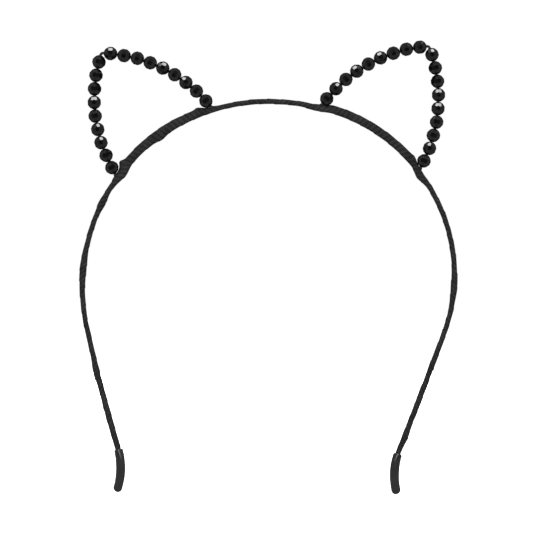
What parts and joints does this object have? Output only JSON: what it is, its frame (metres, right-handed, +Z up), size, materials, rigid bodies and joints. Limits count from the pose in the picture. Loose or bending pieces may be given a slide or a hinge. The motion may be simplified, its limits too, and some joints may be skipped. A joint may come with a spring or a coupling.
{
  "type": "animal ears headband",
  "caption": "Thin wrapped headband with two upright pointed cat ears outlined in faceted beads and a soft cap on each tip.",
  "frame": {"origin": "the middle of the crown's underside, where the band rests on the head", "axes": "+Z up through the crown, -Y the way the wearer faces, +X to the right as seen from the front; the band lies in the XZ plane"},
  "size_m": [0.1471, 0.005, 0.1769],
  "materials": {
    "black_wire": "satin black",
    "black_tape": "matt woven tape",
    "black_bead": "polished facets",
    "black_vinyl": "smooth soft vinyl"
  },
  "bodies": {
    "crown": {"band_wire_crown": "black_wire", "tape_crown": "black_tape"},
    "left_side": {"band_wire_left": "black_wire", "tape_left": "black_tape", "ear_wire_left": "black_wire", "cap_left": "black_vinyl"},
    "right_side": {"band_wire_right": "black_wire", "tape_right": "black_tape", "ear_wire_right": "black_wire", "cap_right": "black_vinyl"},
    "bead_left_01": {"bead_left_01": "black_bead"},
    "bead_left_02": {"bead_left_02": "black_bead"},
    "bead_left_03": {"bead_left_03": "black_bead"},
    "bead_left_04": {"bead_left_04": "black_bead"},
    "bead_left_05": {"bead_left_05": "black_bead"},
    "bead_left_06": {"bead_left_06": "black_bead"},
    "bead_left_07": {"bead_left_07": "black_bead"},
    "bead_left_08": {"bead_left_08": "black_bead"},
    "bead_left_09": {"bead_left_09": "black_bead"},
    "bead_left_10": {"bead_left_10": "black_bead"},
    "bead_left_11": {"bead_left_11": "black_bead"},
    "bead_left_12": {"bead_left_12": "black_bead"},
    "bead_left_13": {"bead_left_13": "black_bead"},
    "bead_left_14": {"bead_left_14": "black_bead"},
    "bead_left_15": {"bead_left_15": "black_bead"},
    "bead_left_16": {"bead_left_16": "black_bead"},
    "bead_left_17": {"bead_left_17": "black_bead"},
    "bead_left_18": {"bead_left_18": "black_bead"},
    "bead_right_01": {"bead_right_01": "black_bead"},
    "bead_right_02": {"bead_right_02": "black_bead"},
    "bead_right_03": {"bead_right_03": "black_bead"},
    "bead_right_04": {"bead_right_04": "black_bead"},
    "bead_right_05": {"bead_right_05": "black_bead"},
    "bead_right_06": {"bead_right_06": "black_bead"},
    "bead_right_07": {"bead_right_07": "black_bead"},
    "bead_right_08": {"bead_right_08": "black_bead"},
    "bead_right_09": {"bead_right_09": "black_bead"},
    "bead_right_10": {"bead_right_10": "black_bead"},
    "bead_right_11": {"bead_right_11": "black_bead"},
    "bead_right_12": {"bead_right_12": "black_bead"},
    "bead_right_13": {"bead_right_13": "black_bead"},
    "bead_right_14": {"bead_right_14": "black_bead"},
    "bead_right_15": {"bead_right_15": "black_bead"},
    "bead_right_16": {"bead_right_16": "black_bead"},
    "bead_right_17": {"bead_right_17": "black_bead"},
    "bead_right_18": {"bead_right_18": "black_bead"}
  },
  "joints": [
    {"name": "flex_left", "type": "hinge", "parent": "crown", "child": "left_side", "pos_m": [-0.01781, 0, -0.00126], "axis": [0, 1, 0], "range_deg": [-6, 14], "stiffness_Nm_per_rad": 0.35},
    {"name": "flex_right", "type": "hinge", "parent": "crown", "child": "right_side", "pos_m": [0.01787, 0, -0.00089], "axis": [0, -1, 0], "range_deg": [-6, 14], "stiffness_Nm_per_rad": 0.35},
    {"name": "spin_left_bead_01", "type": "hinge", "parent": "left_side", "child": "bead_left_01", "pos_m": [-0.0242, 0, 0.0012], "axis": [-0.6691, 0, 0.7431], "continuous": true},
    {"name": "spin_left_bead_02", "type": "hinge", "parent": "left_side", "child": "bead_left_02", "pos_m": [-0.02794, 0, 0.00498], "axis": [-0.7363, 0, 0.6766], "continuous": true},
    {"name": "spin_left_bead_03", "type": "hinge", "parent": "left_side", "child": "bead_left_03", "pos_m": [-0.03202, 0, 0.00838], "axis": [-0.797, 0, 0.604], "continuous": true},
    {"name": "spin_left_bead_04", "type": "hinge", "parent": "left_side", "child": "bead_left_04", "pos_m": [-0.0364, 0, 0.01139], "axis": [-0.8504, 0, 0.5261], "continuous": true},
    {"name": "spin_left_bead_05", "type": "hinge", "parent": "left_side", "child": "bead_left_05", "pos_m": [-0.04105, 0, 0.01397], "axis": [-0.8963, 0, 0.4434], "continuous": true},
    {"name": "spin_left_bead_06", "type": "hinge", "parent": "left_side", "child": "bead_left_06", "pos_m": [-0.04591, 0, 0.0161], "axis": [-0.9342, 0, 0.3567], "continuous": true},
    {"name": "spin_left_bead_07", "type": "hinge", "parent": "left_side", "child": "bead_left_07", "pos_m": [-0.05096, 0, 0.01775], "axis": [-0.9637, 0, 0.2669], "continuous": true},
    {"name": "spin_left_bead_08", "type": "hinge", "parent": "left_side", "child": "bead_left_08", "pos_m": [-0.05615, 0, 0.01893], "axis": [-0.9846, 0, 0.1747], "continuous": true},
    {"name": "spin_left_bead_09", "type": "hinge", "parent": "left_side", "child": "bead_left_09", "pos_m": [-0.06142, 0, 0.01961], "axis": [-0.9967, 0, 0.0809], "continuous": true},
    {"name": "spin_left_bead_10", "type": "hinge", "parent": "left_side", "child": "bead_left_10", "pos_m": [-0.06596, 0, 0.01638], "axis": [-0.2527, 0, -0.9675], "continuous": true},
    {"name": "spin_left_bead_11", "type": "hinge", "parent": "left_side", "child": "bead_left_11", "pos_m": [-0.06706, 0, 0.01118], "axis": [-0.1602, 0, -0.9871], "continuous": true},
    {"name": "spin_left_bead_12", "type": "hinge", "parent": "left_side", "child": "bead_left_12", "pos_m": [-0.06767, 0, 0.0059], "axis": [-0.0663, 0, -0.9978], "continuous": true},
    {"name": "spin_left_bead_13", "type": "hinge", "parent": "left_side", "child": "bead_left_13", "pos_m": [-0.06777, 0, 0.00059], "axis": [0.0283, 0, -0.9996], "continuous": true},
    {"name": "spin_left_bead_14", "type": "hinge", "parent": "left_side", "child": "bead_left_14", "pos_m": [-0.06736, 0, -0.00471], "axis": [0.1226, 0, -0.9925], "continuous": true},
    {"name": "spin_left_bead_15", "type": "hinge", "parent": "left_side", "child": "bead_left_15", "pos_m": [-0.06646, 0, -0.00995], "axis": [0.2158, 0, -0.9764], "continuous": true},
    {"name": "spin_left_bead_16", "type": "hinge", "parent": "left_side", "child": "bead_left_16", "pos_m": [-0.06507, 0, -0.01507], "axis": [0.307, 0, -0.9517], "continuous": true},
    {"name": "spin_left_bead_17", "type": "hinge", "parent": "left_side", "child": "bead_left_17", "pos_m": [-0.06321, 0, -0.02005], "axis": [0.3955, 0, -0.9184], "continuous": true},
    {"name": "spin_left_bead_18", "type": "hinge", "parent": "left_side", "child": "bead_left_18", "pos_m": [-0.06087, 0, -0.02482], "axis": [0.4805, 0, -0.877], "continuous": true},
    {"name": "spin_right_bead_01", "type": "hinge", "parent": "right_side", "child": "bead_right_01", "pos_m": [0.02295, 0, 0.002], "axis": [0.632, 0, 0.7749], "continuous": true},
    {"name": "spin_right_bead_02", "type": "hinge", "parent": "right_side", "child": "bead_right_02", "pos_m": [0.0265, 0, 0.00596], "axis": [0.7024, 0, 0.7118], "continuous": true},
    {"name": "spin_right_bead_03", "type": "hinge", "parent": "right_side", "child": "bead_right_03", "pos_m": [0.03041, 0, 0.00956], "axis": [0.7665, 0, 0.6423], "continuous": true},
    {"name": "spin_right_bead_04", "type": "hinge", "parent": "right_side", "child": "bead_right_04", "pos_m": [0.03464, 0, 0.01277], "axis": [0.8237, 0, 0.567], "continuous": true},
    {"name": "spin_right_bead_05", "type": "hinge", "parent": "right_side", "child": "bead_right_05", "pos_m": [0.03915, 0, 0.01558], "axis": [0.8736, 0, 0.4866], "continuous": true},
    {"name": "spin_right_bead_06", "type": "hinge", "parent": "right_side", "child": "bead_right_06", "pos_m": [0.04391, 0, 0.01794], "axis": [0.9157, 0, 0.4019], "continuous": true},
    {"name": "spin_right_bead_07", "type": "hinge", "parent": "right_side", "child": "bead_right_07", "pos_m": [0.04887, 0, 0.01984], "axis": [0.9495, 0, 0.3137], "continuous": true},
    {"name": "spin_right_bead_08", "type": "hinge", "parent": "right_side", "child": "bead_right_08", "pos_m": [0.05399, 0, 0.02127], "axis": [0.9749, 0, 0.2226], "continuous": true},
    {"name": "spin_right_bead_09", "type": "hinge", "parent": "right_side", "child": "bead_right_09", "pos_m": [0.05922, 0, 0.02221], "axis": [0.9916, 0, 0.1295], "continuous": true},
    {"name": "spin_right_bead_10", "type": "hinge", "parent": "right_side", "child": "bead_right_10", "pos_m": [0.06392, 0, 0.0192], "axis": [0.2997, 0, -0.954], "continuous": true},
    {"name": "spin_right_bead_11", "type": "hinge", "parent": "right_side", "child": "bead_right_11", "pos_m": [0.06527, 0, 0.01406], "axis": [0.2083, 0, -0.9781], "continuous": true},
    {"name": "spin_right_bead_12", "type": "hinge", "parent": "right_side", "child": "bead_right_12", "pos_m": [0.06613, 0, 0.00882], "axis": [0.1149, 0, -0.9934], "continuous": true},
    {"name": "spin_right_bead_13", "type": "hinge", "parent": "right_side", "child": "bead_right_13", "pos_m": [0.06649, 0, 0.00352], "axis": [0.0206, 0, -0.9998], "continuous": true},
    {"name": "spin_right_bead_14", "type": "hinge", "parent": "right_side", "child": "bead_right_14", "pos_m": [0.06635, 0, -0.00179], "axis": [-0.0739, 0, -0.9973], "continuous": true},
    {"name": "spin_right_bead_15", "type": "hinge", "parent": "right_side", "child": "bead_right_15", "pos_m": [0.06571, 0, -0.00707], "axis": [-0.1678, 0, -0.9858], "continuous": true},
    {"name": "spin_right_bead_16", "type": "hinge", "parent": "right_side", "child": "bead_right_16", "pos_m": [0.06457, 0, -0.01226], "axis": [-0.2602, 0, -0.9656], "continuous": true},
    {"name": "spin_right_bead_17", "type": "hinge", "parent": "right_side", "child": "bead_right_17", "pos_m": [0.06295, 0, -0.01732], "axis": [-0.3502, 0, -0.9367], "continuous": true},
    {"name": "spin_right_bead_18", "type": "hinge", "parent": "right_side", "child": "bead_right_18", "pos_m": [0.06085, 0, -0.0222], "axis": [-0.4371, 0, -0.8994], "continuous": true}
  ]
}
